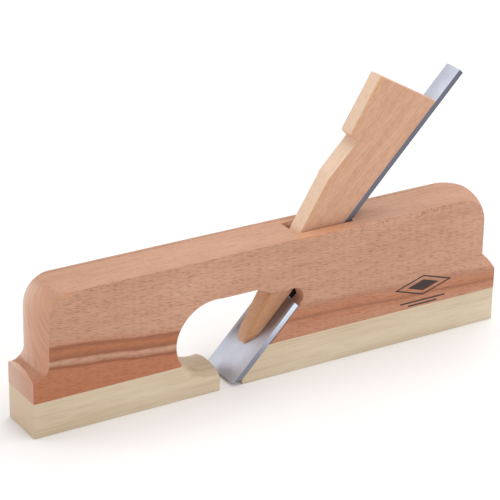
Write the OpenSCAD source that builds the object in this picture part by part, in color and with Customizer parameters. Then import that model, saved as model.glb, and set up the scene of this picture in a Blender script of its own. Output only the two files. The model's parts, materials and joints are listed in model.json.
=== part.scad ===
// Wooden rebate plane: a beech stock on a hornbeam sole, a T-shaped iron and a wedge.
// X runs from toe (-) to heel (+), the open side that faces -Y is the near side, +Z is up.
// The origin is on the sole plane, midway along and across the body.

/* [Body] */
// Length of the body along the sole
body_length = 270; // [250:1:300]
// Width of the body, which is also the width of cut
body_width = 27; // [24:1:36]
// Height of the body at the long edges of its top
body_height = 72.5; // [68:0.5:90]
// Thickness of the hard sole glued under the stock
sole_height = 18.5; // [14:0.5:20]
// Height of the square blocks at both ends
end_block_height = 29.5; // [26:0.5:32]
// How far the grip stands back from the end blocks
end_setback = 8.7; // [8:0.1:10]
// Radius of the hollow between end block and grip, at its long edges
cove_radius = 8; // [7:0.1:9]
// Radius of the upper corners of the grip, at its long edges
corner_radius = 14; // [10:0.5:18]
// How far the ends of the grip swell between their edges
end_crown = 4; // [2:0.1:5]
// How far the top swells between its edges
top_crown = 0.7; // [0.3:0.1:2]

/* [Escapement] */
// Distance of the hollow's centre ahead of the mid length
hollow_forward = 35.5; // [30:0.5:40]
// Height of the hollow's centre at the side faces
hollow_height = 28; // [26:0.5:30]
// Radius of the hollow at the side faces
hollow_radius = 22.5; // [20:0.5:23]
// Height of the hump left in the middle of the sole, in front of the mouth
hump_height = 11.5; // [8:0.5:14]
// Radius of the hollow in the middle of the width
hollow_mid_radius = 19.5; // [18:0.5:20]
// How far the flat of the ceiling lies below the top of the hollow
ceiling_drop = 0.3; // [0.2:0.1:1]
// How far the wood bulges down from the ceiling where the wedge passes
bulge_depth = 4.3; // [2:0.1:6]
// Radius of that bulge
bulge_radius = 28; // [20:1:40]
// Radius of the round end above the iron's shoulders
round_end_radius = 5.8; // [5:0.1:6.5]
// Radius of the round end in the middle of the width
round_end_mid_radius = 4.6; // [4.5:0.1:5]

/* [Bed and mouth] */
// Pitch of the bed that the iron lies on
bed_angle = 46; // [44:0.5:50]
// Distance from the mid length to where the bed meets the sole plane
bed_forward = 22.5; // [18:0.5:28]
// Width of the mouth between the toe part of the sole and the bed
mouth_width = 10.4; // [6:0.2:14]
// How far the thin end of the bed is cut back
bed_trim = 2.8; // [1:0.1:4]

/* [Iron] */
// Thickness of the iron
iron_thickness = 3; // [2:0.1:4]
// Whole length of the iron
iron_length = 195.2; // [170:0.1:220]
// Length of the wide blade, from cutting edge to shoulders
blade_length = 50.8; // [46:0.1:52]
// How far the cutting edge stands above the sole plane
edge_lift = 1.6; // [0.2:0.1:2]
// Angle of the ground bevel
bevel_angle = 30; // [25:1:35]
// Width of the narrow stem
stem_width = 11; // [8:0.5:14]

/* [Wedge and mortise] */
// How far mortise, stem and wedge stand off the middle, towards the near side
slot_offset = 0.7; // [0:0.1:1.5]
// Width of the wedge
wedge_width = 11.4; // [8:0.2:14]
// Gap between the wedge and each cheek of the mortise
wedge_gap = 0.6; // [0.3:0.1:1]
// Gap that lets the wedge slide on the iron
wedge_rest_gap = 0.05; // [0.02:0.01:0.1]
// Angle between the wedge's faces
wedge_angle = 12.4; // [10:0.1:14]
// Thickness of the wedge's straight shank above the taper
shank_thickness = 24.6; // [22:0.2:28]
// Distance from the cutting edge to the tip of the wedge
wedge_setback = 19.4; // [15:0.2:25]
// Length of the wedge along the iron
wedge_length = 155.6; // [140:0.2:165]
// Length of the wedge's head, above the notch
head_length = 41.6; // [30:0.2:50]
// Thickness of the head at the notch
head_thickness = 30.2; // [27:0.2:34]
// Thickness of the head at its top
head_top_thickness = 37.3; // [32:0.2:42]
// How far the top slopes back, from the iron to the front of the head
head_slope = 9.7; // [0:0.1:14]
// Width of the flat left at the wedge's tip
tip_width = 6; // [4:0.2:8]
// Depth of the chamfer at the front lip of the mortise
front_lip_depth = 2.4; // [1:0.1:3]
// Width of the chamfer at the front lip of the mortise
front_lip_width = 3; // [1:0.1:4]
// Chamfer along the cheeks of the mortise
cheek_lip = 1; // [0.5:0.1:1.5]

/* [Hidden] */
$fn = 96;
eps = 0.01;
past = 1;              // how far a cut runs past the face it opens

half_length = body_length / 2;
half_width = body_width / 2;
grip_half = half_length - end_setback;
crown_radius = (half_width * half_width + end_crown * end_crown) / (2 * end_crown);
top_radius = (half_width * half_width + top_crown * top_crown) / (2 * top_crown);
cove_z = end_block_height + cove_radius;
corner_x = grip_half - corner_radius;
corner_z = body_height - corner_radius;
top_z = body_height + top_crown;

ceiling_z = hollow_height + hollow_radius - ceiling_drop;
hollow_mid_z = hump_height + hollow_mid_radius;
hollow_lean = 0.9;     // how far the hollow's centre moves towards the toe in the middle
hollow_mid_forward = hollow_forward + hollow_lean;
mouth_front_x = -bed_forward - mouth_width;

// The cutting edge, measured along the bed from where the bed meets the sole plane
edge_u = (edge_lift - iron_thickness * cos(bed_angle)) / sin(bed_angle);
shoulder_u = edge_u + blade_length;
tip_u = edge_u + wedge_setback;
head_u = tip_u + wedge_length - head_length;

// Centre of the round end: a little past the shoulders, and so near that it dips under the bed
round_end_past = 1.2;
round_end_dip = 0.5;
round_end_mid_dip = 0.7;
round_end_u = shoulder_u + round_end_past;
round_end_n = round_end_radius - round_end_dip;
round_end_mid_n = round_end_mid_radius - round_end_mid_dip;

slot_width = wedge_width + 2 * wedge_gap;
// The wedge's back face stands this far off the bed
wedge_n = iron_thickness + wedge_rest_gap;
// The taper's two faces would meet this far below the tip
apex_below_tip = 21;
apex_u = tip_u - apex_below_tip;
bend_u = apex_u + shank_thickness / tan(wedge_angle);

// Places its children on the bed: X up the bed, Z out of it
module on_bed() {
    translate([-bed_forward, 0, 0]) rotate([0, -bed_angle, 0]) children();
}

// Draws a side view, with its Y as height, through a stated part of the width
module across(width, centre = 0) {
    translate([0, centre + width / 2, 0]) rotate([90, 0, 0]) linear_extrude(width) children();
}

// Plan of the grip, with swelling ends
module grip_plan() {
    intersection() {
        square([2 * (half_length + past), body_width], center = true);
        union() {
            square([2 * corner_x, body_width + 2 * past], center = true);
            for (side = [-1, 1])
                translate([side * (grip_half + end_crown - crown_radius), 0]) circle(crown_radius);
        }
    }
}

// Upper corner of the grip, swelling like the ends
module corner() {
    translate([corner_x, 0, corner_z]) rotate([90, 0, 0]) rotate_extrude(angle = 90) intersection() {
        translate([0, -half_width]) square([corner_radius + end_crown, body_width]);
        translate([corner_radius + end_crown - crown_radius, 0]) circle(crown_radius);
    }
}

// Waisted cutter that sweeps out the cove above an end block
module cove_cutter() {
    translate([half_length - (end_setback - cove_radius), 0, cove_z]) rotate([90, 0, 0])
        rotate_extrude() difference() {
            translate([0, -half_width - past]) square([cove_radius, body_width + 2 * past]);
            translate([cove_radius - end_crown + crown_radius, 0]) circle(crown_radius);
        }
}

// Everything under the gently swelling top
module under_top() {
    rotate([90, 0, 90]) linear_extrude(body_length + 2 * past, center = true) intersection() {
        translate([-half_width, 0]) square([body_width, top_z]);
        translate([0, top_z - top_radius]) circle(top_radius, $fn = 720);
    }
}

// The body before it is opened, stock and sole together
module blank() {
    intersection() {
        union() {
            difference() {
                translate([-half_length, -half_width, 0]) cube([body_length, body_width, cove_z]);
                for (side = [0, 1]) mirror([side, 0, 0]) cove_cutter();
            }
            translate([0, 0, cove_z]) linear_extrude(corner_z - cove_z) grip_plan();
            for (side = [0, 1]) mirror([side, 0, 0]) corner();
            translate([-corner_x, -half_width, corner_z])
                cube([2 * corner_x, body_width, corner_radius + top_crown]);
        }
        under_top();
    }
}

// Closed skin through round sections along Y, each given as [y, x, z, radius]
module lofted(sections, sides = 60) {
    last = len(sections) - 1;
    points = [for (s = sections, i = [0:sides - 1])
        [s[1] + s[3] * cos(360 * i / sides), s[0], s[2] + s[3] * sin(360 * i / sides)]];
    function at(ring, i) = ring * sides + i % sides;
    skin = [for (ring = [0:last - 1], i = [0:sides - 1], upper = [0, 1])
        upper == 1 ? [at(ring, i), at(ring, i + 1), at(ring + 1, i + 1)]
                   : [at(ring, i), at(ring + 1, i + 1), at(ring + 1, i)]];
    first_end = [for (i = [sides - 1:-1:0]) at(0, i)];
    last_end = [for (i = [0:sides - 1]) at(last, i)];
    polyhedron(points, concat([first_end], skin, [last_end]));
}

// Round hollow in front of the mouth, which narrows towards the middle of the width and
// leaves a hump there: a slow rise over the whole width and a quick one at the side faces
module hollow() {
    rings = 7;
    slow_rise = 2;
    quick_rise = 20;
    sections = [for (ring = [-rings - 1:rings + 1])
        let (t = min(sin(90 * min(abs(ring), rings) / rings), 1),
             share = (pow(t, slow_rise) + pow(t, quick_rise)) / 2,
             beyond = abs(ring) > rings ? past : 0)
        [sign(ring) * (half_width * t + beyond),
         -hollow_mid_forward + share * (hollow_mid_forward - hollow_forward),
         hollow_mid_z + share * (hollow_height - hollow_mid_z),
         hollow_mid_radius + share * (hollow_radius - hollow_mid_radius)]];
    lofted(sections);
}

// Round end above the shoulders, dished towards the middle of the width
module round_end() {
    // A size at the side faces, carried on at the same slope to just outside them
    function outside(side, middle) = side + (side - middle) * past / (half_width - slot_width / 2);
    lofted([for (y = [-half_width - past, -slot_width / 2, slot_width / 2, half_width + past])
        abs(y) < half_width
            ? [y, round_end_u, round_end_mid_n, round_end_mid_radius]
            : [y, round_end_u, outside(round_end_n, round_end_mid_n),
               outside(round_end_radius, round_end_mid_radius)]], 36);
}

// Side view of the throat under its ceiling, with the bulge in front of the round end
module throat_view() {
    bed_x = -bed_forward + round_end_u * cos(bed_angle);
    bed_z = round_end_u * sin(bed_angle);
    centre_x = bed_x - round_end_n * sin(bed_angle);
    centre_z = bed_z + round_end_n * cos(bed_angle);
    difference() {
        polygon([
            [mouth_front_x, -past],
            [mouth_front_x, ceiling_z],
            [centre_x, ceiling_z],
            [centre_x, centre_z],
            [bed_x, bed_z],
            [bed_x, -past]
        ]);
        translate([centre_x - round_end_radius, ceiling_z - bulge_depth + bulge_radius])
            circle(bulge_radius, $fn = 360);
    }
}

// Room in front of the bed, whose thin end is cut back
module clear_of_bed() {
    breadth = body_width + 4 * past;
    foot_x = -bed_forward + bed_trim;
    on_bed() translate([-iron_length, -breadth / 2, 0]) cube([2 * iron_length, breadth, iron_length]);
    translate([-half_length, -breadth / 2, -2 * past])
        cube([half_length + foot_x, breadth, sole_height]);
}

// Side view of the slot for stem and wedge, which the bed cuts off behind
module slot_view() {
    function front_n(u) = wedge_n + (u - apex_u) * tan(wedge_angle);
    // Up to the wedge's bend, and out through the top where that lies further up the bed
    to_u = max(bend_u, (top_z + past) / sin(bed_angle)) + 2 * past;
    polygon([[tip_u, -past], [tip_u, front_n(tip_u)], [to_u, front_n(to_u)], [to_u, -past]]);
}

// The whole opening: hollow, throat, round end, and the slot up through the top
module opening() {
    hollow();
    intersection() {
        union() {
            across(body_width + 2 * past) throat_view();
            on_bed() round_end();
            on_bed() across(slot_width, -slot_offset) slot_view();
        }
        clear_of_bed();
    }
}

// Chamfered lips where the slot comes out of the top
module lips() {
    pitch = bed_angle + wedge_angle;
    root_x = -bed_forward + apex_u * cos(bed_angle) - wedge_n * sin(bed_angle);
    root_z = apex_u * sin(bed_angle) + wedge_n * cos(bed_angle);
    lip_z = body_height - front_lip_depth;
    front_x = root_x + (lip_z - root_z) / tan(pitch);
    bed_x = -bed_forward + body_height / tan(bed_angle);
    across(slot_width + 2 * cheek_lip, -slot_offset) polygon([
        [front_x, lip_z],
        [front_x - front_lip_width, body_height],
        [front_x - front_lip_width - past, top_z + past],
        [front_x + past, top_z + past],
        [front_x + past, lip_z]
    ]);
    translate([front_x, -slot_offset, body_height - cheek_lip])
        rotate([90, 0, 90]) linear_extrude(bed_x - front_x) polygon([
            [-slot_width / 2, 0],
            [-slot_width / 2 - 2 * cheek_lip, 2 * cheek_lip],
            [slot_width / 2 + 2 * cheek_lip, 2 * cheek_lip],
            [slot_width / 2, 0]
        ]);
}

// Beech stock with its grip, escapement, bed and mortise
module stock() {
    color("#cd9a7b") difference() {
        blank();
        translate([-half_length - past, -half_width - past, -past])
            cube([body_length + 2 * past, body_width + 2 * past, sole_height + past]);
        opening();
        lips();
    }
}

// Part of the sole between two places along the body
module sole_part(from_x, to_x) {
    color("#d3c3a0") difference() {
        translate([from_x, -half_width, 0]) cube([to_x - from_x, body_width, sole_height]);
        opening();
    }
}

// Hornbeam sole in front of the mouth, with the hump
module toe_sole() {
    sole_part(-half_length, mouth_front_x);
}

// Hornbeam sole behind the mouth, with the foot of the bed
module heel_sole() {
    sole_part(-bed_forward, half_length);
}

// One-piece steel iron: wide blade below, narrow stem through the mortise
module iron() {
    bevel_length = iron_thickness / tan(bevel_angle);
    stem_fillet = 1.5;
    // The round cutter bites a hair into both edges, so that it never only grazes them
    fillet_bite = 0.02;
    fillet_reach = stem_fillet - fillet_bite;
    corner_break = 0.6;
    color("#c3c6cc") on_bed() difference() {
        linear_extrude(iron_thickness) difference() {
            union() {
                translate([edge_u, -half_width]) square([blade_length, body_width]);
                translate([shoulder_u - eps, -slot_offset - stem_width / 2])
                    square([iron_length - blade_length + eps, stem_width]);
                translate([shoulder_u - eps, -slot_offset - stem_width / 2 - fillet_reach])
                    square([fillet_reach + eps, stem_width + 2 * fillet_reach]);
            }
            for (side = [-1, 1])
                translate([shoulder_u + fillet_reach, -slot_offset + side * (stem_width / 2 + fillet_reach)])
                    circle(stem_fillet);
        }
        across(body_width + 2 * past) polygon([
            [edge_u, iron_thickness],
            [edge_u + bevel_length, 0],
            [edge_u + bevel_length, -past],
            [edge_u - past, -past],
            [edge_u - past, iron_thickness]
        ]);
        for (side = [-1, 1])
            translate([edge_u + iron_length, -slot_offset + side * stem_width / 2, -past])
                rotate([0, 0, 45])
                    cube([corner_break, corner_break, 2 * (iron_thickness + past)], center = true);
    }
}

// Beech wedge with a notched head to knock it back by
module wedge() {
    top_u = tip_u + wedge_length;
    // The tip is whittled: blunt at its end, rounded over in front, its near corner pared away
    // in plan and its far corner only blunted
    tip_rise = 1.6;
    nose_length = 7;
    near_cut_length = 7.4;
    far_cut = 0.7;
    far_cut_length = 1.2;
    nose_u = tip_u + nose_length;
    nose_thickness = (nose_u - apex_u) * tan(wedge_angle);
    far_end = wedge_width / 2 - far_cut;
    color("#d8a880") on_bed() translate([0, -slot_offset, wedge_n]) intersection() {
        across(wedge_width) polygon([
            [tip_u, 0],
            [tip_u + tip_rise / 2, tip_rise],
            [nose_u, nose_thickness],
            [bend_u, shank_thickness],
            [head_u, shank_thickness],
            [head_u, head_thickness],
            [top_u - head_slope, head_top_thickness],
            [top_u, 0]
        ]);
        // Plan, with the tip brought to a narrow flat
        linear_extrude(head_top_thickness) polygon([
            [tip_u, far_end - tip_width],
            [tip_u + near_cut_length, -wedge_width / 2],
            [top_u, -wedge_width / 2],
            [top_u, wedge_width / 2],
            [tip_u + far_cut_length, wedge_width / 2],
            [tip_u, far_end]
        ]);
    }
}

stock();
toe_sole();
heel_sole();
iron();
wedge();
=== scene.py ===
"""Wooden rebate plane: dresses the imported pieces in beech, hornbeam and ground steel.

Every length is in metres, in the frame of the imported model: X from toe to heel, Y from the near
side to the far side, Z up from the sole.
"""

import json
import logging
import math
from collections.abc import Callable
from dataclasses import dataclass, field
from enum import Enum

import bmesh
import bpy
from mathutils import Matrix, Vector

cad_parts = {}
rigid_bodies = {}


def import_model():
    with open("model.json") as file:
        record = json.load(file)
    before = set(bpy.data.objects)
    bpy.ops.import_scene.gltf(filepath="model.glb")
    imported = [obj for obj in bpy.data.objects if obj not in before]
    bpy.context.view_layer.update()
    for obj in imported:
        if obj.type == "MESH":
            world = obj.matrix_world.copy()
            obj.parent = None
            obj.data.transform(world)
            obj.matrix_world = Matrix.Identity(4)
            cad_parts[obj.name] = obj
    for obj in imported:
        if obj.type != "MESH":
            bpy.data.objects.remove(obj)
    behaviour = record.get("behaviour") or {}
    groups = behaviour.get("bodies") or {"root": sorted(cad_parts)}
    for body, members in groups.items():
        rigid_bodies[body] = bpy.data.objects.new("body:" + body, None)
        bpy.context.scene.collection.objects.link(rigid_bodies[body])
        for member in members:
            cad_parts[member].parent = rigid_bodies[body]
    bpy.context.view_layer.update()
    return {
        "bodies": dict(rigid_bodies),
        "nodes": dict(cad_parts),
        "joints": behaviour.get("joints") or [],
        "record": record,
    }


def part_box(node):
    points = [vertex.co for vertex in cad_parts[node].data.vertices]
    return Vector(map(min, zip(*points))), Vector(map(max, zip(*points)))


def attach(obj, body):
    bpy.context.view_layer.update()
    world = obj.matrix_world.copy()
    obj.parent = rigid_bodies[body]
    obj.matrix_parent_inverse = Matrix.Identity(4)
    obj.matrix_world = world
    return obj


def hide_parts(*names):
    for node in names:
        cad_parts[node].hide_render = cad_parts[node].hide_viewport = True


MM = 0.001
# Points closer than this are welded into one
WELD = 2e-6
# Edges shorter than this are dropped
NO_LENGTH = 1e-6
# Neighbouring faces that turn by less than this are one flat face
FLAT = math.radians(0.3)
# Places closer than this lie on the same plane
TOUCHING = 5e-6

log = logging.getLogger("rebate_plane")

Triple = tuple[float, float, float]
Colour = tuple[float, float, float]
EdgeTest = Callable[[bmesh.types.BMEdge], bool]
Socket = bpy.types.NodeSocket
Value = Socket | float | Triple


class Node(Enum):
    """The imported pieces, by the names of their nodes."""

    STOCK = "stock"
    TOE_SOLE = "toe_sole"
    HEEL_SOLE = "heel_sole"
    IRON = "iron"
    WEDGE = "wedge"


class Body(Enum):
    """The bodies that the pieces ride on."""

    PLANE_BODY = "plane_body"
    IRON = "iron"
    WEDGE = "wedge"


def srgb(red: int, green: int, blue: int) -> Colour:
    """Turns an 8-bit display colour into linear light.

    Args:
        red: Red, from 0 to 255.
        green: Green, from 0 to 255.
        blue: Blue, from 0 to 255.

    Returns:
        The same colour in linear light.
    """

    def channel(value: int) -> float:
        """Turns one channel into linear light.

        Args:
            value: The channel, from 0 to 255.

        Returns:
            Its share of full light.
        """
        share = value / 255
        return share / 12.92 if share <= 0.04045 else ((share + 0.055) / 1.055) ** 2.4

    return channel(red), channel(green), channel(blue)


# ---------------------------------------------------------------------------------------------
# The frame that iron and wedge slide in
# ---------------------------------------------------------------------------------------------


@dataclass(frozen=True)
class BedFrame:
    """Places measured on the sloping bed: up along it, and out of it."""

    origin: Vector
    pitch: float

    @classmethod
    def from_frame(cls, frame: dict) -> "BedFrame":
        """Finds the bed from the iron's sliding joint and the foot of the bed.


        Returns:
            The frame of the bed.
        """
        axis = next(j["axis"] for j in frame["joints"] if j["child"] == Body.IRON.value)
        pitch = math.atan2(axis[2], axis[0])
        sole = frame["nodes"][Node.HEEL_SOLE.value].data
        joint_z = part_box(Node.HEEL_SOLE.value)[1].z
        bed_x = min(v.co.x for v in sole.vertices if v.co.z > joint_z - TOUCHING)
        return cls(Vector((bed_x - joint_z / math.tan(pitch), 0, 0)), pitch)

    @property
    def turn(self) -> Triple:
        """Gives the turn that lays a pattern along the bed.

        Returns:
            The turn about each axis, in radians.
        """
        return 0.0, self.pitch, 0.0

    def along(self, point: Vector) -> float:
        """Measures how far up the bed a point lies.

        Args:
            point: The point.

        Returns:
            The distance from the foot of the bed.
        """
        away = point - self.origin
        return away.x * math.cos(self.pitch) + away.z * math.sin(self.pitch)


# ---------------------------------------------------------------------------------------------
# Meshes
# ---------------------------------------------------------------------------------------------


def merged_copy(node: Node) -> bmesh.types.BMesh:
    """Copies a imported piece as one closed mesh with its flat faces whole.

    Args:
        node: The piece to copy.

    Returns:
        A new bmesh, which the caller frees.
    """
    bm = bmesh.new()
    bm.from_mesh(bpy.data.objects[node.value].data)
    bmesh.ops.remove_doubles(bm, verts=bm.verts, dist=WELD)
    bmesh.ops.dissolve_degenerate(bm, edges=bm.edges, dist=NO_LENGTH)
    bmesh.ops.dissolve_limit(
        bm,
        angle_limit=FLAT,
        verts=bm.verts,
        edges=bm.edges,
        use_dissolve_boundaries=False,
        delimit=set(),
    )
    return bm


def ease(bm: bmesh.types.BMesh, test: EdgeTest, width: float, segments: int = 2) -> int:
    """Rounds the edges that a test picks.

    Args:
        bm: The mesh to round.
        test: Says whether an edge is rounded.
        width: Width of the rounding.
        segments: Faces across it.

    Returns:
        How many edges were rounded.
    """
    edges = [edge for edge in bm.edges if len(edge.link_faces) == 2 and test(edge)]
    if edges:
        bmesh.ops.bevel(
            bm,
            geom=edges,
            offset=width,
            offset_type="OFFSET",
            segments=segments,
            profile=0.5,
            affect="EDGES",
            clamp_overlap=True,
            material=-1,
        )
    return len(edges)


def sharper_than(degrees: float) -> EdgeTest:
    """Picks outer edges that turn by more than an angle.

    Args:
        degrees: The smallest turn between the two faces.

    Returns:
        The test.
    """
    limit = math.radians(degrees)
    return lambda edge: edge.is_convex and edge.calc_face_angle(0.0) > limit


def as_object(bm: bmesh.types.BMesh, name: str, smooth_below: float) -> bpy.types.Object:
    """Makes a scene object of a bmesh, shaded smooth except at its sharp edges.

    Args:
        bm: The mesh, which is freed.
        name: Name of the piece.
        smooth_below: Edges that turn by less than this many degrees look smooth.

    Returns:
        The object, at the origin.
    """
    limit = math.radians(smooth_below)
    for face in bm.faces:
        face.smooth = True
    for edge in bm.edges:
        edge.smooth = edge.calc_face_angle(math.pi) < limit
    bmesh.ops.triangulate(bm, faces=[f for f in bm.faces if len(f.verts) > 4])
    mesh = bpy.data.meshes.new(name)
    bm.to_mesh(mesh)
    bm.free()
    obj = bpy.data.objects.new(name, mesh)
    bpy.context.scene.collection.objects.link(obj)
    return obj


# ---------------------------------------------------------------------------------------------
# Materials
# ---------------------------------------------------------------------------------------------


@dataclass
class Palette:
    """Builds one node material: each method adds a node and gives back its output."""

    name: str
    material: bpy.types.Material = field(init=False)
    tree: bpy.types.NodeTree = field(init=False)
    shader: bpy.types.Node = field(init=False)
    where: bpy.types.Node = field(init=False)

    def __post_init__(self) -> None:
        """Makes the material, with a principled shader and the object's own coordinates."""
        self.material = bpy.data.materials.new(self.name)
        self.material.use_nodes = True
        self.tree = self.material.node_tree
        self.shader = self.tree.nodes["Principled BSDF"]
        self.where = self.add("TexCoord")

    def add(self, kind: str, **settings: object) -> bpy.types.Node:
        """Adds a node of a kind, with its own settings.

        Args:
            kind: The node's type name, without its prefix.
            **settings: Properties to set on it.

        Returns:
            The node.
        """
        node = self.tree.nodes.new("ShaderNode" + kind)
        for key, value in settings.items():
            setattr(node, key, value)
        return node

    def feed(self, socket: Socket, value: Value) -> None:
        """Sets a socket to a number or colour, or links an output to it.

        Args:
            socket: The input to feed.
            value: A number, a colour, a vector or another node's output.
        """
        if isinstance(value, Socket):
            self.tree.links.new(value, socket)
        elif isinstance(value, tuple) and len(value) == 3 and socket.type == "RGBA":
            socket.default_value = (*value, 1.0)
        else:
            socket.default_value = value

    def point(self) -> tuple[Socket, Socket, Socket]:
        """Gives the place on the object.

        Returns:
            X, Y and Z, in metres.
        """
        return self.split(self.where.outputs["Object"])

    def normal(self) -> tuple[Socket, Socket, Socket]:
        """Gives the way the surface faces.

        Returns:
            The three parts of the normal, each from -1 to 1.
        """
        return self.split(self.where.outputs["Normal"])

    def facing(self, axis: int) -> Socket:
        """Says how squarely a surface faces along an axis.

        Args:
            axis: 0 for X, 1 for Y, 2 for Z.

        Returns:
            The share, from 0 to 1.
        """
        return self.math("ABSOLUTE", self.normal()[axis])

    def across_grain(self, pitch: float) -> Socket:
        """Says how squarely the surface cuts the grain.

        Args:
            pitch: How steeply the grain climbs towards the heel, in radians.

        Returns:
            The share, from 0 to 1.
        """
        x, _, z = self.normal()
        lengthwise = self.math("MULTIPLY", x, math.cos(pitch))
        return self.math("ABSOLUTE", self.math("MULTIPLY_ADD", z, math.sin(pitch), lengthwise))

    def up_slope(self, foot: Vector, pitch: float) -> Socket:
        """Measures how far up a slope the surface lies.

        Args:
            foot: The foot of the slope, at the sole.
            pitch: How steeply it climbs towards the heel, in radians.

        Returns:
            The distance from the foot, in metres.
        """
        x, _, z = self.point()
        lengthwise = self.math("MULTIPLY", self.math("SUBTRACT", x, foot.x), math.cos(pitch))
        return self.math("MULTIPLY_ADD", z, math.sin(pitch), lengthwise)

    def place(self, scale: Triple, turn: Triple = (0, 0, 0), shift: Triple = (0, 0, 0)) -> Socket:
        """Object coordinates, moved, turned and then scaled.

        Args:
            scale: Pattern repeats in a metre, along each axis.
            turn: Turn about each axis, in radians.
            shift: How far the pattern is moved first, in metres.

        Returns:
            The vector output.
        """
        moved = self.add("Mapping", vector_type="POINT")
        self.feed(moved.inputs["Vector"], self.where.outputs["Object"])
        self.feed(moved.inputs["Location"], shift)
        self.feed(moved.inputs["Rotation"], turn)
        sized = self.add("VectorMath", operation="MULTIPLY")
        self.feed(sized.inputs[0], moved.outputs[0])
        self.feed(sized.inputs[1], scale)
        return sized.outputs[0]

    def noise(self, vector: Socket, detail: float = 2.0, rough: float = 0.5) -> Socket:
        """Makes smooth noise.

        Args:
            vector: Where in the noise.
            detail: How many finer layers it has.
            rough: How strong the finer layers are.

        Returns:
            The noise, from 0 to 1.
        """
        node = self.add("TexNoise", noise_dimensions="3D")
        self.feed(node.inputs["Vector"], vector)
        self.feed(node.inputs["Scale"], 1.0)
        self.feed(node.inputs["Detail"], detail)
        self.feed(node.inputs["Roughness"], rough)
        return node.outputs["Fac"]

    def cells(self, vector: Socket) -> tuple[Socket, Socket]:
        """Scatters points.

        Args:
            vector: Where among the points.

        Returns:
            The distance to the nearest point, and that point's own random colour.
        """
        node = self.add("TexVoronoi", feature="F1", distance="EUCLIDEAN")
        self.feed(node.inputs["Vector"], vector)
        self.feed(node.inputs["Scale"], 1.0)
        self.feed(node.inputs["Randomness"], 1.0)
        return node.outputs["Distance"], node.outputs["Color"]

    def math(self, operation: str, *values: Value) -> Socket:
        """Works out a sum, product or other operation on numbers.

        Args:
            operation: Blender's name for the operation.
            *values: The numbers it takes.

        Returns:
            The result.
        """
        node = self.add("Math", operation=operation)
        for socket, value in zip(node.inputs, values):
            self.feed(socket, value)
        return node.outputs[0]

    def ramp(
        self, value: Value, low: float, high: float, to: tuple[float, float] = (0, 1)
    ) -> Socket:
        """Takes a number from one range smoothly into another, and holds it there.

        Args:
            value: The number.
            low: Where the range starts.
            high: Where it ends; it may be the lower of the two.
            to: What the two ends become.

        Returns:
            The new number.
        """
        node = self.add("MapRange", interpolation_type="SMOOTHSTEP", clamp=True)
        if low > high:
            low, high, to = high, low, (to[1], to[0])
        names = ("Value", "From Min", "From Max", "To Min", "To Max")
        for name, number in zip(names, (value, low, high, *to)):
            self.feed(node.inputs[name], number)
        return node.outputs["Result"]

    def mix(self, share: Value, first: Value, second: Value, blend: str = "MIX") -> Socket:
        """Mixes two colours.

        Args:
            share: How much of the second.
            first: The first colour.
            second: The second colour.
            blend: Blender's name for the way they mix.

        Returns:
            The mixed colour.
        """
        node = self.add("Mix", data_type="RGBA", blend_type=blend, clamp_factor=True)
        self.feed(node.inputs[0], share)
        self.feed(node.inputs[6], first)
        self.feed(node.inputs[7], second)
        return node.outputs[2]

    def profile(
        self, value: Socket, stops: tuple[tuple[float, Colour, float], ...]
    ) -> tuple[Socket, Socket]:
        """Colours and their strengths along a line.

        Args:
            value: Where on the line, in metres.
            stops: Place in metres, colour and strength of each stop, in order.

        Returns:
            The colour and the strength.
        """
        low, high = stops[0][0], stops[-1][0]
        share = self.add("MapRange", clamp=True)
        for name, number in (("Value", value), ("From Min", low), ("From Max", high)):
            self.feed(share.inputs[name], number)
        node = self.add("ValToRGB")
        ramp = node.color_ramp
        ramp.interpolation = "EASE"
        while len(ramp.elements) < len(stops):
            ramp.elements.new(0.5)
        for element, (place, colour, strength) in zip(ramp.elements, stops):
            element.position = (place - low) / (high - low)
            element.color = (*colour, strength)
        self.feed(node.inputs[0], share.outputs["Result"])
        return node.outputs["Color"], node.outputs["Alpha"]

    def within(self, value: Value, low: float, high: float, soft: float) -> Socket:
        """Picks a range of a number, with soft ends.

        Args:
            value: The number.
            low: Where the range starts.
            high: Where it ends.
            soft: How far each end fades, to either side.

        Returns:
            1 inside the range and 0 outside it.
        """
        rises = self.ramp(value, low - soft, low + soft)
        falls = self.ramp(value, high + soft, high - soft)
        return self.math("MULTIPLY", rises, falls)

    def all_of(self, *shares: Value) -> Socket:
        """Multiplies several shares.

        Args:
            *shares: The shares, at least two.

        Returns:
            Their product.
        """
        product = shares[0]
        for share in shares[1:]:
            product = self.math("MULTIPLY", product, share)
        return product

    def split(self, vector: Socket) -> tuple[Socket, Socket, Socket]:
        """Takes a vector or colour apart.

        Args:
            vector: The vector or colour.

        Returns:
            Its three parts.
        """
        node = self.add("SeparateXYZ")
        self.feed(node.inputs[0], vector)
        return node.outputs[0], node.outputs[1], node.outputs[2]

    def join(self, x: Value, y: Value, z: Value) -> Socket:
        """Makes a vector.

        Args:
            x: Its first part.
            y: Its second part.
            z: Its third part.

        Returns:
            The vector.
        """
        node = self.add("CombineXYZ")
        for socket, value in zip(node.inputs, (x, y, z)):
            self.feed(socket, value)
        return node.outputs[0]

    def bump(self, height: Value, depth: float, strength: float) -> Socket:
        """Makes a bumped normal.

        Args:
            height: Height, from 0 to 1.
            depth: Depth of the bumps in metres.
            strength: How strongly they show.

        Returns:
            The normal.
        """
        node = self.add("Bump")
        self.feed(node.inputs["Strength"], strength)
        self.feed(node.inputs["Distance"], depth)
        self.feed(node.inputs["Height"], height)
        return node.outputs[0]

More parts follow.
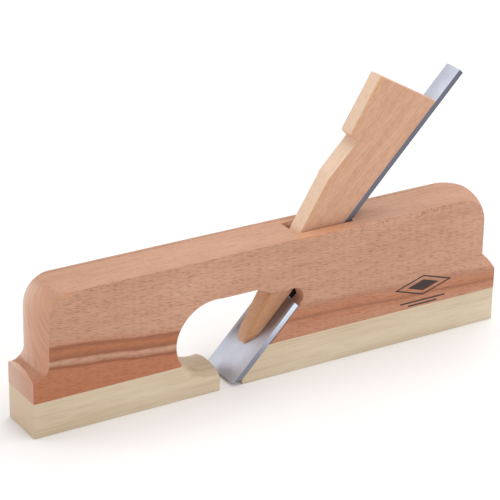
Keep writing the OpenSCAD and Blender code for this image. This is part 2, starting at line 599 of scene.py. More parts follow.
    def finish(
        self, colour: Value, roughness: Value, normal: Socket, **fixed: float
    ) -> bpy.types.Material:
        """Feeds the shader.

        Args:
            colour: Base colour.
            roughness: Roughness.
            normal: Normal.
            **fixed: Other sockets that are the same all over, by name with underscores.

        Returns:
            The finished material.
        """
        self.feed(self.shader.inputs["Base Color"], colour)
        self.feed(self.shader.inputs["Roughness"], roughness)
        self.feed(self.shader.inputs["Normal"], normal)
        for name, value in fixed.items():
            self.feed(self.shader.inputs[name.replace("_", " ")], value)
        return self.material


@dataclass(frozen=True)
class Beech:
    """Steamed beech: pinkish brown, with short dark flecks along the grain."""

    name: str
    ground: Colour = srgb(199, 154, 128)
    deep: Colour = srgb(177, 128, 101)
    pale: Colour = srgb(206, 164, 138)
    fleck: Colour = srgb(138, 82, 54)
    fleck_strength: float = 0.56
    fleck_slope: float = 0.15
    end_tint: Colour = srgb(210, 157, 129)
    # Painted sheen: the end grain turns to this paler, greyer colour towards the far side
    end_sheen: Colour = srgb(228, 200, 182)
    # How often each pattern repeats in a metre: along the grain, and twice across it
    streak_scale: Triple = (7, 170, 170)
    cloud_scale: Triple = (14, 45, 32)
    fibre_scale: Triple = (110, 1700, 1700)
    # Across the width, where the painted sheen on the end grain starts and is full
    end_sheen_span: tuple[float, float] = (-9 * MM, 14 * MM)
    bump_depth: float = 0.1 * MM
    turn: Triple = (0.0, 0.0, 0.0)

    def build(self) -> bpy.types.Material:
        """Builds the material.

        Returns:
            The finished material.
        """
        p = Palette(self.name)
        streaks = p.noise(p.place(self.streak_scale, self.turn), detail=3.0, rough=0.55)
        colour = p.mix(p.ramp(streaks, 0.32, 0.72, (0.0, 0.42)), self.ground, self.deep)
        cloud = p.noise(p.place(self.cloud_scale, self.turn))
        colour = p.mix(p.ramp(cloud, 0.42, 0.72, (0.0, 0.5)), colour, self.pale)
        colour = self.markings(p, colour)
        fibres = p.noise(p.place(self.fibre_scale, self.turn), rough=0.6)
        colour = p.mix(p.ramp(fibres, 0.35, 0.75, (0.0, 0.22)), colour, self.deep, "MULTIPLY")
        ends = p.ramp(p.across_grain(self.turn[1]), 0.5, 0.8)
        sides = p.ramp(p.facing(1), 0.35, 0.75, (0.2, 1.0))
        flecks = p.all_of(self.flecks(p), sides, p.math("SUBTRACT", 1.0, ends))
        colour = p.mix(p.math("MULTIPLY", flecks, self.fleck_strength), colour, self.fleck)
        chatter = self.chatter(p)
        # Painted sheen: the end grain grows paler towards the far side
        end_with_sheen = p.mix(p.ramp(p.point()[1], *self.end_sheen_span), self.end_tint, self.end_sheen)
        colour = p.mix(p.math("MULTIPLY", ends, 0.8), colour, end_with_sheen)
        colour = p.mix(p.all_of(ends, p.ramp(chatter, 0.42, 0.7), 0.45), colour, self.deep)
        colour = self.marks(p, colour)
        height = p.math("SUBTRACT", p.math("MULTIPLY", fibres, 0.4), flecks)
        height = p.math("ADD", height, p.all_of(ends, chatter, 0.8))
        rough = p.ramp(fibres, 0.2, 0.8, (0.50, 0.64))
        return p.finish(colour, rough, p.bump(height, self.bump_depth, 0.4), Specular_IOR_Level=0.3)

    def flecks(self, p: Palette) -> Socket:
        """Draws short dark lens-shaped flecks along the grain, in two sizes.

        Args:
            p: The material in the making.

        Returns:
            The share of fleck, from 0 to 1.
        """
        slow = p.noise(p.place((24, 50, 60), self.turn), detail=1.0)
        quick = p.noise(p.place((90, 60, 200), self.turn), detail=1.0)
        wobble = p.math("ADD", p.math("MULTIPLY", slow, 1.6), p.math("MULTIPLY", quick, 0.25))
        total: Value = 0.0
        # Repeats in a metre across, along and into the wood, shift in metres, and reach in cells
        for across, along, depth, shift, reach in (
            (1750, 200, 170, 0.0, 0.50),
            (2200, 300, 230, 0.37, 0.48),
        ):
            x, y, z = p.split(p.place((along, depth, across), self.turn, (shift, shift, shift)))
            sinking = p.math("MULTIPLY_ADD", x, self.fleck_slope * across / along, z)
            distance, tone = p.cells(p.join(x, y, p.math("ADD", sinking, wobble)))
            kept = p.ramp(p.split(tone)[0], 0.05, 0.8)
            total = p.math("MAXIMUM", total, p.math("MULTIPLY", p.ramp(distance, reach, 0.12), kept))
        return total

    def chatter(self, p: Palette) -> Socket:
        """Draws the curved marks that the cutter left across the end grain.

        Args:
            p: The material in the making.

        Returns:
            The marks, from 0 to 1.
        """
        lean, rise, curve = 0.83, 0.45, 9.0
        marks_across, marks_along = 900.0, 50.0
        _, y, z = p.point()
        bow = p.math("MULTIPLY", p.math("MULTIPLY", y, y), curve)
        level = p.math("SUBTRACT", p.math("MULTIPLY", y, lean), p.math("MULTIPLY", z, rise))
        across = p.math("ADD", level, bow)
        along = p.math("ADD", p.math("MULTIPLY", y, rise), p.math("MULTIPLY", z, lean))
        lines = p.join(
            p.math("MULTIPLY", across, marks_across), p.math("MULTIPLY", along, marks_along), 0.0
        )
        return p.noise(lines, rough=0.6)

    def markings(self, p: Palette, colour: Value) -> Socket:
        """Adds what grew in the wood, under the fibres; plain beech has nothing.

        Args:
            p: The material in the making; not used here.
            colour: The colour so far.

        Returns:
            The new colour.
        """
        return colour

    def marks(self, p: Palette, colour: Value) -> Socket:
        """Adds what was done to the surface, over the fibres; plain beech has nothing.

        Args:
            p: The material in the making; not used here.
            colour: The colour so far.

        Returns:
            The new colour.
        """
        return colour


@dataclass(frozen=True, kw_only=True)
class StockBeech(Beech):
    """The stock's beech, with heartwood bands, a burnished cheek, small chips and an ink mark, and
    painted shade towards the toe and along the iron.
    """

    bed: BedFrame
    heart: Colour = srgb(176, 107, 71)
    heart_dark: Colour = srgb(144, 83, 54)
    burnish: Colour = srgb(208, 146, 104)
    # Ink of the mark, also the colour of the painted shadow line along the iron
    ink: Colour = srgb(34, 33, 38)
    block_end: Colour = srgb(184, 146, 130)
    top: float = 72.5 * MM
    # How far the bands sway, and how steeply they sink at the toe and at the heel
    sway: float = 4 * MM
    toe_sink: float = 0.115
    heel_sink: float = 0.045
    # The worn spots on the toe's corner: middle and half length
    toe_spots: tuple[tuple[float, float], ...] = ((-120.5 * MM, 1.4 * MM), (-116.0 * MM, 2.2 * MM))
    mark_centre: tuple[float, float] = (89 * MM, 30.2 * MM)
    mark_half: tuple[float, float] = (18.5 * MM, 5.8 * MM)
    mark_bars: tuple[tuple[float, float], ...] = ((21.8 * MM, 14 * MM), (19.9 * MM, 9 * MM))
    # Along the stock, where the burnished strip on top starts and ends
    burnished: tuple[float, float] = (13 * MM, 46 * MM)
    # Across the width, where that strip starts to show and is full
    burnish_edge: tuple[float, float] = (-5.0 * MM, -11.5 * MM)
    # Along the stock, where the near top edge is chipped
    chipped: tuple[tuple[float, float], ...] = ((32 * MM, 119 * MM), (-107 * MM, -84 * MM))
    # Under the top, where the chips end and start
    chip_depth: tuple[float, float] = (2.2 * MM, 0.15 * MM)
    # Chips in a metre along the stock, across it and down it
    chip_scale: Triple = (640, 60, 1000)
    # Up from the sole, where the darker end of the square block fades out and is full
    block_fade: tuple[float, float] = (31 * MM, 29 * MM)
    # Off the bed, where the painted shadow line along the iron starts and ends
    gap_shadow_span: tuple[float, float] = (-0.45 * MM, 0.5 * MM)
    # Up from the sole, where that painted shadow line fades out and is full
    gap_shadow_fade: tuple[float, float] = (37.2 * MM, 36.6 * MM)
    # Across the width, where ink starts to show and is full
    inked_side: tuple[float, float] = (-13.30 * MM, -13.42 * MM)

    def markings(self, p: Palette, colour: Value) -> Socket:
        """Adds the redder bands that run low along the stock and sink towards the heel, and painted
        shade towards the toe.

        Args:
            p: The material in the making.
            colour: The colour so far.

        Returns:
            The new colour.
        """
        x, _, z = p.point()
        sway = p.noise(p.place((26, 30, 60)))
        level = p.math("ADD", z, p.math("MULTIPLY", p.math("SUBTRACT", sway, 0.5), self.sway))
        at_toe = p.ramp(x, 10 * MM, -30 * MM)
        toe_line = p.math("ADD", level, p.math("MULTIPLY", x, self.toe_sink))
        toe_tint, toe_share = p.profile(
            toe_line,
            (
                (0.0, self.heart, 0.85),
                (19.5 * MM, self.heart, 0.8),
                (20.9 * MM, self.heart_dark, 0.95),
                (22.3 * MM, self.heart_dark, 0.35),
                (23.6 * MM, self.ground, 0.15),
                (25.6 * MM, self.heart_dark, 0.85),
                (29.0 * MM, self.heart, 0.9),
                (31.6 * MM, self.heart_dark, 0.85),
                (33.4 * MM, self.heart, 0.25),
                (36.5 * MM, self.heart, 0.0),
            ),
        )
        heel_line = p.math("ADD", level, p.math("MULTIPLY", x, self.heel_sink))
        heel_tint, heel_share = p.profile(
            heel_line,
            (
                (0.0, self.heart, 0.25),
                (24.5 * MM, self.heart, 0.45),
                (27.5 * MM, self.heart, 0.6),
                (29.3 * MM, self.heart_dark, 0.75),
                (31.0 * MM, self.heart, 0.7),
                (34.0 * MM, self.heart, 0.6),
                (36.0 * MM, self.heart_dark, 0.4),
                (39.5 * MM, self.heart, 0.0),
            ),
        )
        # Painted shade: the stock darkens towards the toe end
        colour = p.mix(p.ramp(x, -50 * MM, -135 * MM, (0.0, 0.3)), colour, self.deep)
        tint = p.mix(at_toe, heel_tint, toe_tint)
        share = p.math(
            "ADD",
            p.math("MULTIPLY", at_toe, toe_share),
            p.math("MULTIPLY", p.math("SUBTRACT", 1.0, at_toe), heel_share),
        )
        on_sides = p.ramp(p.facing(1), 0.3, 0.7, (0.25, 1.0))
        return p.mix(p.math("MULTIPLY", share, on_sides), colour, tint)

    def marks(self, p: Palette, colour: Value) -> Socket:
        """Adds burnish, chips, darker block ends, a painted shadow line along the iron, and the ink
        mark.

        Args:
            p: The material in the making.
            colour: The colour so far.

        Returns:
            The new colour.
        """
        x, y, z = p.point()
        patchy = p.ramp(p.noise(p.place((70, 160, 160))), 0.25, 0.6)
        cheek = p.all_of(
            p.within(x, *self.burnished, 4 * MM),
            p.ramp(z, self.top - 1.6 * MM, self.top - 0.3 * MM),
            p.ramp(y, *self.burnish_edge),
            patchy,
        )
        colour = p.mix(p.math("MULTIPLY", cheek, 0.7), colour, self.burnish)
        for centre, half in self.toe_spots:
            spot = p.all_of(
                p.within(x, centre - half, centre + half, 2.2 * MM),
                p.within(z, self.top - 2.6 * MM, self.top + 2 * MM, 1.4 * MM),
                p.ramp(y, -11.6 * MM, -12.8 * MM),
            )
            colour = p.mix(p.math("MULTIPLY", spot, 0.5), colour, self.burnish)
        chips, tone = p.cells(p.place(self.chip_scale))
        rows = p.math("MAXIMUM", *(p.within(x, *row, 2 * MM) for row in self.chipped))
        deepest, highest = self.chip_depth
        chip = p.all_of(
            p.ramp(chips, 0.55, 0.3),
            p.ramp(p.split(tone)[1], 0.35, 0.5),
            rows,
            p.within(z, self.top - deepest, self.top - highest, 0.3 * MM),
            p.ramp(y, -12.1 * MM, -12.7 * MM),
        )
        colour = p.mix(p.math("MULTIPLY", chip, 0.9), colour, self.heart_dark)
        block_end = p.math("MULTIPLY", p.ramp(p.facing(0), 0.8, 0.95), p.ramp(z, *self.block_fade))
        colour = p.mix(p.math("MULTIPLY", block_end, 0.5), colour, self.block_end)
        # Painted shadow in the gap between the wood and the iron's back
        colour = p.mix(p.math("MULTIPLY", self.bed_gap_shadow(p), 0.8), colour, self.ink)
        return p.mix(p.math("MULTIPLY", self.ink_mark(p), 0.93), colour, self.ink)

    def bed_gap_shadow(self, p: Palette) -> Socket:
        """Draws a painted shadow line where the wood meets the iron's back, on the side faces.

        Args:
            p: The material in the making.

        Returns:
            The share of the line, from 0 to 1.
        """
        off_bed = p.up_slope(self.bed.origin, self.bed.pitch + math.pi / 2)
        near_bed = p.within(off_bed, *self.gap_shadow_span, 0.25 * MM)
        on_sides = p.ramp(p.facing(1), 0.9, 0.97)
        return p.all_of(near_bed, on_sides, p.ramp(p.point()[2], *self.gap_shadow_fade))

    def ink_mark(self, p: Palette) -> Socket:
        """Draws a plain lozenge over two bars, in ink low on the near side, by the heel.

        Args:
            p: The material in the making.

        Returns:
            The share of ink, from 0 to 1.
        """
        x, y, z = p.point()
        spans = []
        for value, centre, half in zip((x, z), self.mark_centre, self.mark_half):
            away = p.math("ABSOLUTE", p.math("SUBTRACT", value, centre))
            spans.append(p.math("DIVIDE", away, half))
        reach = p.math("ADD", *spans)
        ring = p.within(reach, 0.84, 0.98, 0.02)
        middle = p.ramp(reach, 0.56, 0.52)
        inked = p.math("MAXIMUM", ring, middle)
        for level, half in self.mark_bars:
            bar = p.all_of(
                p.within(x, self.mark_centre[0] - half, self.mark_centre[0] + half, 0.2 * MM),
                p.within(z, level - 0.45 * MM, level + 0.45 * MM, 0.12 * MM),
            )
            inked = p.math("MAXIMUM", inked, bar)
        return p.math("MULTIPLY", inked, p.ramp(y, *self.inked_side))


@dataclass(frozen=True, kw_only=True)
class WedgeBeech(Beech):
    """The wedge's beech: paler on its front, browner where it is whittled."""

    bed: BedFrame
    front: Colour = srgb(234, 204, 178)
    whittled: Colour = srgb(196, 146, 106)
    worn: Colour = srgb(222, 172, 124)
    # Where up the bed the brown of the whittled end starts and is full
    browning: tuple[float, float] = (62 * MM, 40 * MM)
    fleck_strength: float = 0.3
    fleck_slope: float = 0.0

    def markings(self, p: Palette, colour: Value) -> Socket:
        """Makes the front pale, its rounded edges golden and the tip brown.

        Args:
            p: The material in the making.
            colour: The colour so far.

        Returns:
            The new colour.
        """
        along = p.up_slope(self.bed.origin, self.bed.pitch)
        squarely = p.facing(1)
        colour = p.mix(p.ramp(squarely, 0.75, 0.2), colour, self.front)
        in_front = p.ramp(p.normal()[0], -0.15, -0.35)
        worn = p.all_of(p.within(squarely, 0.3, 0.9, 0.12), in_front, 0.55)
        colour = p.mix(worn, colour, self.worn)
        return p.mix(p.math("MULTIPLY", p.ramp(along, *self.browning), 0.75), colour, self.whittled)


@dataclass(frozen=True)
class Hornbeam:
    """Hornbeam: cream, with fine straight grain."""

    name: str
    ground: Colour = srgb(207, 189, 163)
    line: Colour = srgb(182, 160, 127)
    pale: Colour = srgb(220, 205, 182)
    end_tint: Colour = srgb(207, 182, 156)
    # How often each pattern repeats in a metre: along the grain, and twice across it
    band_scale: Triple = (5, 330, 330)
    cloud_scale: Triple = (10, 60, 60)
    fibre_scale: Triple = (60, 2000, 2000)
    pore_scale: Triple = (200, 1500, 1500)
    bump_depth: float = 0.06 * MM

    def build(self) -> bpy.types.Material:
        """Builds the material.

        Returns:
            The finished material.
        """
        p = Palette(self.name)
        bands = p.noise(p.place(self.band_scale), detail=4.0, rough=0.6)
        colour = p.mix(p.ramp(bands, 0.42, 0.75, (0.0, 0.75)), self.ground, self.line)
        cloud = p.noise(p.place(self.cloud_scale), detail=1.0)
        colour = p.mix(p.ramp(cloud, 0.4, 0.7, (0.0, 0.6)), colour, self.pale)
        fibres = p.noise(p.place(self.fibre_scale), rough=0.6)
        colour = p.mix(p.ramp(fibres, 0.45, 0.8, (0.0, 0.3)), colour, self.line, "MULTIPLY")
        ends = p.ramp(p.facing(0), 0.5, 0.9)
        colour = p.mix(p.math("MULTIPLY", ends, 0.75), colour, self.end_tint)
        pores = p.noise(p.place(self.pore_scale), rough=0.7)
        colour = p.mix(p.all_of(ends, p.ramp(pores, 0.5, 0.8), 0.3), colour, self.line)
        rough = p.ramp(fibres, 0.2, 0.8, (0.48, 0.6))
        return p.finish(colour, rough, p.bump(fibres, self.bump_depth, 0.3), Specular_IOR_Level=0.3)


@dataclass(frozen=True)
class GroundSteel:
    """Tool steel with ground faces; painted reflection and shade on its narrow side faces: bright to
    dim down the blade, dark on the stem, near-black in the mortise.
    """

    name: str
    bed: BedFrame
    shoulder: float
    colour: Colour = srgb(214, 219, 231)
    shade: Colour = srgb(198, 202, 214)
    # Painted shade: dim reflection on the stem's side faces
    dark: Colour = srgb(112, 114, 126)
    # Painted reflection on the blade's side: bright at the shoulders
    bright: Colour = srgb(222, 230, 244)
    # Painted reflection on the blade's side: dim further down
    low: Colour = srgb(138, 143, 158)
    # Painted shadow and dark reflection on the iron's face around the wedge
    wedge_shade: Colour = srgb(112, 78, 56)
    # Painted shadow: near-black on the stem's side down in the mortise
    mortise_shadow: Colour = srgb(38, 35, 37)
    # Painted shade around the wedge: below the shoulders, where it starts to show and is full
    wedge_shade_below: tuple[float, float] = (34 * MM, 20 * MM)
    # Painted shade: above the shoulders, where it has faded out and is still full
    wedge_shade_above: tuple[float, float] = (14 * MM, 4 * MM)
    # Painted shade: off the middle of the blade, where it is weaker and is full
    wedge_shade_edge: tuple[float, float] = (13.3 * MM, 10.5 * MM)
    # Above the shoulders, where the painted shadow on the stem's side, down in the mortise, ends and
    # is full
    mortise_shadow_above: tuple[float, float] = (12 * MM, 7 * MM)
    # Above the shoulders, where the blade's side gives way to the stem's
    stem_above: tuple[float, float] = (0.2 * MM, 1.5 * MM)
    # How far below the shoulders the painted reflection on the blade's side has gone from bright to
    # low
    side_reflection_fade: float = 38 * MM
    # How often each pattern repeats in a metre: up the bed, across it, and out of it
    scratch_scale: Triple = (5200, 90, 5200)
    grain_scale: Triple = (1400, 1400, 1400)
    cloud_scale: Triple = (60, 60, 60)
    bump_depth: float = 0.02 * MM

    def build(self) -> bpy.types.Material:
        """Builds the material.

        Returns:
            The finished material.
        """
        p = Palette(self.name)
        scratches = p.noise(p.place(self.scratch_scale, self.bed.turn), detail=3.0, rough=0.7)
        grain = p.noise(p.place(self.grain_scale, self.bed.turn), rough=0.7)
        cloud = p.noise(p.place(self.cloud_scale, self.bed.turn))
        colour = p.mix(p.ramp(cloud, 0.3, 0.7), self.colour, self.shade)
        colour = p.mix(p.ramp(grain, 0.45, 0.75, (0.0, 0.25)), colour, self.shade, "MULTIPLY")
        _, y, _ = p.point()
        along = p.up_slope(self.bed.origin, self.bed.pitch)
        sinking = p.math("MULTIPLY_ADD", y, 0.5, along)
        wedge_shaded = p.all_of(
            p.ramp(sinking, *(self.shoulder - reach for reach in self.wedge_shade_below)),
            p.ramp(p.math("ABSOLUTE", y), *self.wedge_shade_edge, (0.55, 1.0)),
            p.ramp(along, *(self.shoulder + reach for reach in self.wedge_shade_above)),
        )
        # Painted shadow and dark reflection around the wedge
        colour = p.mix(p.math("MULTIPLY", wedge_shaded, 0.72), colour, self.wedge_shade)
        # Painted light on the side faces: reflection on the blade's side, shade and shadow on the
        # stem's side
        sides = p.ramp(p.facing(1), 0.6, 0.8)
        on_stem = p.ramp(along, *(self.shoulder + reach for reach in self.stem_above))
        down_side = p.ramp(along, self.shoulder, self.shoulder - self.side_reflection_fade)
        blade_side_reflection = p.mix(down_side, self.bright, self.low)
        in_mortise_shadow = p.ramp(along, *(self.shoulder + reach for reach in self.mortise_shadow_above))
        stem_shading = p.mix(in_mortise_shadow, self.dark, self.mortise_shadow)
        side = p.mix(on_stem, blade_side_reflection, stem_shading)
        colour = p.mix(sides, colour, side)
        fine = p.ramp(scratches, 0.3, 0.7, (0.50, 0.58))
        rough = p.math("ADD", fine, p.ramp(cloud, 0.3, 0.7, (0.0, 0.06)))
        return p.finish(colour, rough, p.bump(scratches, self.bump_depth, 0.25), Metallic=0.75)


# ---------------------------------------------------------------------------------------------
# The plane's pieces
# ---------------------------------------------------------------------------------------------


@dataclass
class PlaneBody:
    """Stock and the two soles, planed flush together."""

    bed: BedFrame
    arris: float = 0.4 * MM
    grip_arris: float = 0.9 * MM
    # The opening between the soles: its reach in front of the toe sole's end, its back and its top
    throat_reach: float = 27 * MM
    throat_back: float = 18 * MM
    throat_top: float = 53 * MM
    # How far the square lower end stands above the joint with the soles
    block_rise: float = 10.5 * MM
    # Edges that turn by more degrees than this are eased; below the next they look smooth
    eased_above: float = 30.0
    smooth_below: float = 32.0

    def build(self) -> None:
        """Builds and dresses stock and soles."""
        low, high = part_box(Node.STOCK.value)
        joint_z = low.z
        side_y = high.y
        throat_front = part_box(Node.TOE_SOLE.value)[1].x - self.throat_reach
        block_z = joint_z + self.block_rise

        def at_joint(edge: bmesh.types.BMEdge) -> bool:
            """Says whether an edge runs along the glue line.

            Args:
                edge: The edge.

            Returns:
                Whether it does.
            """
            return all(abs(v.co.z - joint_z) < TOUCHING for v in edge.verts)

        def in_throat(edge: bmesh.types.BMEdge) -> bool:
            """Says whether an edge lies in the opening.

            Args:
                edge: The edge.

            Returns:
                Whether it does.
            """
            return all(
                throat_front < v.co.x < self.throat_back and v.co.z < self.throat_top
                for v in edge.verts
            )

        def is_grip(edge: bmesh.types.BMEdge) -> bool:
            """Says whether an edge belongs to the outline that the hand holds.

            Args:
                edge: The edge.

            Returns:
                Whether it does, on either side face.
            """
            on_side = all(abs(abs(v.co.y) - side_y) < TOUCHING for v in edge.verts)
            return on_side and not in_throat(edge) and all(v.co.z > block_z for v in edge.verts)

        sharp = sharper_than(self.eased_above)
        passes = (
            (lambda edge: is_grip(edge) and sharp(edge), self.grip_arris, 4),
            (lambda edge: not in_throat(edge) and not at_joint(edge) and sharp(edge), self.arris, 2),
        )
        beech = StockBeech("beech_stock", bed=self.bed).build()
        hornbeam = Hornbeam("hornbeam_sole").build()
        for node, material in (
            (Node.STOCK, beech),
            (Node.TOE_SOLE, hornbeam),
            (Node.HEEL_SOLE, hornbeam),
        ):
            bm = merged_copy(node)
            counts = [ease(bm, test, width, segments) for test, width, segments in passes]
            piece = as_object(bm, node.value + "_wood", self.smooth_below)
            piece.data.materials.append(material)
            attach(piece, Body.PLANE_BODY.value)
            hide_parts(node.value)
            log.info("%s: edges eased %s", piece.name, counts)


@dataclass
class Iron:
    """The T-shaped iron."""

    bed: BedFrame
    arris: float = 0.12 * MM
    # Corners this near the widest place belong to the blade
    side_depth: float = 0.1 * MM
    # Edges that turn by more degrees than this are eased; below the next they look smooth
    eased_above: float = 40.0
    smooth_below: float = 32.0

    def build(self) -> None:
        """Builds and dresses the iron."""
        bm = merged_copy(Node.IRON)
        widest = max(v.co.y for v in bm.verts)
        blade = (v.co for v in bm.verts if v.co.y > widest - self.side_depth)
        shoulder = max(self.bed.along(corner) for corner in blade)
        count = ease(bm, sharper_than(self.eased_above), self.arris)
        piece = as_object(bm, "iron_steel", self.smooth_below)
        piece.data.materials.append(GroundSteel("iron_steel", self.bed, shoulder).build())
        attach(piece, Body.IRON.value)
        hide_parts(Node.IRON.value)
        log.info("%s: %d edges eased", piece.name, count)


@dataclass(frozen=True)
class Section:
    """One section across the wedge: where it stands on the bed, and its rounded outline."""

    back: float
    front: float
    rise: float
    far: float
    near: float
    front_round: float
    back_round: float = 0.35 * MM

    def ring(self, segments: int) -> list[tuple[float, float]]:
        """The outline, as pairs of place across the width and height off the wedge's back.

        Args:
            segments: Steps around each corner.

        Returns:
            The points in order, from the far back corner round the front.
        """
        points = []
        corners = (
            (self.far - self.back_round, self.back_round, self.back_round, -90),
            (self.far - self.front_round, self.rise - self.front_round, self.front_round, 0),
            (self.front_round - self.near, self.rise - self.front_round, self.front_round, 90),
            (self.back_round - self.near, self.back_round, self.back_round, 180),
        )
        for across, height, radius, start in corners:
            for step in range(segments + 1):
                angle = math.radians(start + 90 * step / segments)
                points.append((across + radius * math.cos(angle), height + radius * math.sin(angle)))
        return points


# The whittled nose, in millimetres: where its back and its front lie past the tip, its height,
# and its reach to the far and to the near side
NOSE = (
    (0.0, 0.8, 1.55, 4.85, 1.05),
    (1.3, 1.3, 1.9, 5.55, 1.8),
    (2.4, 2.4, 2.7, 5.65, 2.45),
    (3.9, 3.9, 3.8, 5.69, 3.4),
    (5.4, 5.4, 4.85, 5.7, 4.3),
    (7.2, 7.2, 5.95, 5.7, 5.2),
    (9.4, 9.4, 6.55, 5.7, 5.66),
)


@dataclass
class Wedge:
    """The wedge: head and shank with eased edges, and a lower end whittled round."""

    bed: BedFrame
    stand_off: float = 3.05 * MM
    offset: float = -0.7 * MM
    half_width: float = 5.7 * MM
    tip: float = 18.727 * MM
    apex_below_tip: float = 21 * MM
    taper: float = math.radians(12.4)
    shank: float = 24.6 * MM
    length: float = 155.6 * MM
    head_length: float = 41.6 * MM
    head: float = 30.2 * MM
    head_top: float = 37.3 * MM
    head_slope: float = 9.7 * MM
    whittled: float = 50 * MM
    whittled_steps: int = 10
    # Rounding of the front edges where the nose ends, and how much of it is lost up to the shank
    nose_round: float = 4.0 * MM
    round_lost: float = 2.3 * MM
    nose_back_round: float = 0.25 * MM
    shank_round: float = 0.7 * MM
    top_ease: float = 0.5 * MM
    smooth_below: float = 40.0
    segments: int = 6

    def build(self) -> None:
        """Builds and dresses the wedge."""
        bm = self.lofted(self.sections())
        piece = as_object(bm, "wedge_beech", self.smooth_below)
        finish = WedgeBeech(
            "beech_wedge",
            ground=srgb(212, 168, 140),
            deep=srgb(190, 140, 110),
            pale=srgb(218, 177, 150),
            turn=self.bed.turn,
            bed=self.bed,
        )
        piece.data.materials.append(finish.build())
        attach(piece, Body.WEDGE.value)
        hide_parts(Node.WEDGE.value)
        log.info("%s: %d faces", piece.name, len(piece.data.polygons))

    def sections(self) -> list[Section]:
        """Lays out the sections.

        Returns:
            The sections, from the tip to the top.
        """
        return self.nose() + self.shank_sections() + self.head_sections()

    def nose(self) -> list[Section]:
        """Lays out the whittled nose.

        Returns:
            Its sections, from the tip up.
        """
        found = []
        for back, front, rise, far, near in NOSE:
            radius = min(rise * 0.6, (far + near) * 0.45)
            place, lean = self.tip + back * MM, self.tip + front * MM
            found.append(
                Section(
                    place, lean, rise * MM, far * MM, near * MM, radius * MM, self.nose_back_round
                )
            )
        return found

    def level(self, place: float, rise: float, radius: float) -> Section:
        """Makes a full-width section square across the bed.

        Args:
            place: How far up the bed it stands.
            rise: Its height off the wedge's back.
            radius: Rounding of its front edges.

        Returns:
            The section.
        """
        return Section(place, place, rise, self.half_width, self.half_width, radius)

    def shank_sections(self) -> list[Section]:
        """Lays out the tapered and the level stretch of the shank.

        Returns:
            Their sections, from the nose to the neck.
        """
        apex = self.tip - self.apex_below_tip
        slope = math.tan(self.taper)
        start = NOSE[-1][0] * MM
        found = []
        for step in range(1, self.whittled_steps + 1):
            share = step / self.whittled_steps
            place = self.tip + start + share * (self.whittled - start)
            radius = self.nose_round - self.round_lost * share**0.8
            found.append(self.level(place, (place - apex) * slope, radius))
        bend = apex + self.shank / slope
        for place, radius in ((bend - 2 * MM, 1.6 * MM), (bend, 1.1 * MM)):
            found.append(self.level(place, (place - apex) * slope, radius))
        neck = self.tip + self.length - self.head_length
        for place in (bend + 3 * MM, neck - 0.1 * MM):
            found.append(self.level(place, self.shank, self.shank_round))
        return found

    def head_sections(self) -> list[Section]:
        """Lays out the head.

        Returns:
            Its sections, from the neck to the sloping top.
        """
        top = self.tip + self.length
        neck = top - self.head_length
        front = top - self.head_slope
        full = self.half_width
        eased = self.top_ease
        inner = full - eased
        return [
            self.level(neck + 0.1 * MM, self.head - 0.4 * MM, 2.2 * MM),
            self.level(neck + 0.6 * MM, self.head, 2.4 * MM),
            Section(top - eased, front - eased, self.head_top - 0.1 * MM, full, full, 2.7 * MM),
            Section(top, front, self.head_top - 1.1 * eased, inner, inner, 2.2 * MM, 0.3 * MM),
        ]

    def lofted(self, sections: list[Section]) -> bmesh.types.BMesh:
        """Skins the sections into one closed mesh.

        Args:
            sections: From the tip to the top.

        Returns:
            The mesh.
        """
        up_bed = Vector((math.cos(self.bed.pitch), 0.0, math.sin(self.bed.pitch)))
        off_bed = Vector((-math.sin(self.bed.pitch), 0.0, math.cos(self.bed.pitch)))
        bm = bmesh.new()
        rings = []
        for section in sections:
            ring = []
            for across, height in section.ring(self.segments):
                along = section.back + (section.front - section.back) * height / section.rise
                place = self.bed.origin + up_bed * along + off_bed * (self.stand_off + height)
                ring.append(bm.verts.new(place + Vector((0.0, self.offset + across, 0.0))))
            rings.append(ring)
        count = len(rings[0])
        for low, high in zip(rings, rings[1:]):
            for i in range(count):
                after = (i + 1) % count
                bm.faces.new((low[i], low[after], high[after], high[i]))
        bm.faces.new(list(reversed(rings[0])))
        bm.faces.new(rings[-1])
        bmesh.ops.recalc_face_normals(bm, faces=bm.faces)
        return bm


# ---------------------------------------------------------------------------------------------
# Studio
# ---------------------------------------------------------------------------------------------


@dataclass(frozen=True)
class SoftBox:
    """A square area light."""

    name: str
    place: Triple
    size: float
    power: float
    colour: Colour

    def build(self, target: Vector) -> None:
        """Adds the light.

        Args:
            target: Where it points.
        """
        data = bpy.data.lights.new(self.name, "AREA")
        data.shape = "SQUARE"
        data.size = self.size
        data.energy = self.power
        data.color = self.colour
        lamp = bpy.data.objects.new(self.name, data)
        lamp.location = Vector(self.place)
        lamp.rotation_euler = (target - lamp.location).to_track_quat("-Z", "Y").to_euler()
        bpy.context.scene.collection.objects.link(lamp)


SOFT_BOXES = (
    SoftBox("overhead", (0.35, 0.1, 1.3), 1.4, 13.0, (1.0, 1.0, 1.0)),
    SoftBox("far_left", (-1.3, 0.9, 0.35), 0.9, 7.0, (1.0, 0.99, 0.99)),
    SoftBox("front", (0.35, -1.35, 0.6), 0.9, 5.5, (1.0, 0.99, 0.98)),
)


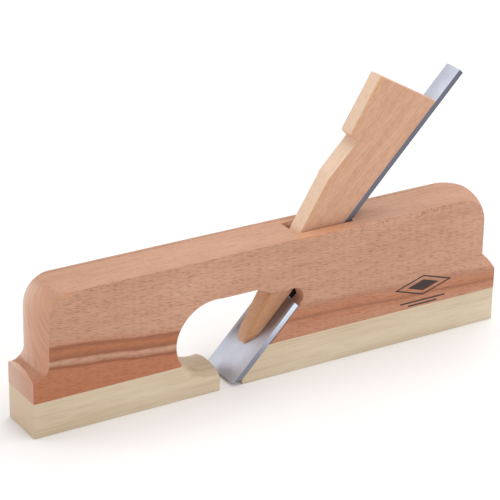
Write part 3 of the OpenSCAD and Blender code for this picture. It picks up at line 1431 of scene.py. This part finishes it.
@dataclass(frozen=True)
class Studio:
    """Camera, soft lights and a pale floor."""

    target: Vector = Vector((0.0, 0.0, 40 * MM))
    azimuth: float = math.radians(-31.91)
    elevation: float = math.radians(23.42)
    roll: float = math.radians(1.083)
    distance: float = 1.1373
    focal: float = 163.6
    off_centre: tuple[float, float] = (5.363 * MM, -32.003 * MM)
    shift: tuple[float, float] = (-0.0053, -0.0406)
    sensor: float = 36.0
    far_clip: float = 50.0
    floor_size: float = 6.0
    floor_tone: float = 0.93
    floor_roughness: float = 0.9
    room_light: float = 0.56

    def build(self) -> None:
        """Sets up the whole studio."""
        self.camera()
        self.floor()
        self.lights()

    def axes(self) -> Matrix:
        """Works out the camera's axes.

        Returns:
            Right, up and back, as columns.
        """
        back = Vector(
            (
                math.sin(self.azimuth) * math.cos(self.elevation),
                -math.cos(self.azimuth) * math.cos(self.elevation),
                math.sin(self.elevation),
            )
        )
        right = Vector((math.cos(self.azimuth), math.sin(self.azimuth), 0.0))
        up = back.cross(right)
        turn = Matrix.Rotation(self.roll, 3, "Z")
        return Matrix((right, up, back)).transposed() @ turn

    def camera(self) -> None:
        """Places the camera at the viewing angle, with the object in its place in the frame."""
        axes = self.axes()
        data = bpy.data.cameras.new("camera")
        data.sensor_width = self.sensor
        data.lens = self.focal
        data.shift_x, data.shift_y = self.shift
        data.clip_end = self.far_clip
        camera = bpy.data.objects.new("camera", data)
        right, up, back = (axes.col[i] for i in range(3))
        centre = self.target - right * self.off_centre[0] - up * self.off_centre[1]
        place = centre + back * self.distance
        camera.matrix_world = Matrix.Translation(place) @ axes.to_4x4()
        bpy.context.scene.collection.objects.link(camera)
        bpy.context.scene.camera = camera

    def floor(self) -> None:
        """A plain pale floor under the sole."""
        bm = bmesh.new()
        bmesh.ops.create_grid(bm, x_segments=1, y_segments=1, size=self.floor_size / 2)
        mesh = bpy.data.meshes.new("floor")
        bm.to_mesh(mesh)
        bm.free()
        floor = bpy.data.objects.new("floor", mesh)
        bpy.context.scene.collection.objects.link(floor)
        material = bpy.data.materials.new("floor")
        material.use_nodes = True
        shader = material.node_tree.nodes["Principled BSDF"]
        tone = self.floor_tone
        shader.inputs["Base Color"].default_value = (tone, tone, tone, 1.0)
        shader.inputs["Roughness"].default_value = self.floor_roughness
        mesh.materials.append(material)

    def lights(self) -> None:
        """A bright room, with soft boxes above, in front and at the toe."""
        scene = bpy.context.scene
        world = bpy.data.worlds.new("studio")
        world.use_nodes = True
        background = world.node_tree.nodes["Background"]
        background.inputs["Color"].default_value = (1.0, 1.0, 1.0, 1.0)
        background.inputs["Strength"].default_value = self.room_light
        scene.world = world
        for soft_box in SOFT_BOXES:
            soft_box.build(self.target)
        scene.view_settings.view_transform = "Standard"
        scene.view_settings.look = "None"


def main() -> None:
    """Builds the studio and the plane."""
    logging.basicConfig(level=logging.INFO, format="%(name)s: %(message)s")
    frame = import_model()
    bed = BedFrame.from_frame(frame)
    pitch = math.degrees(bed.pitch)
    log.info("bed: pitch %.2f degrees, foot at x %.2f mm", pitch, bed.origin.x / MM)
    Studio().build()
    PlaneBody(bed).build()
    Iron(bed).build()
    Wedge(bed).build()


if __name__ == "__main__":
    main()
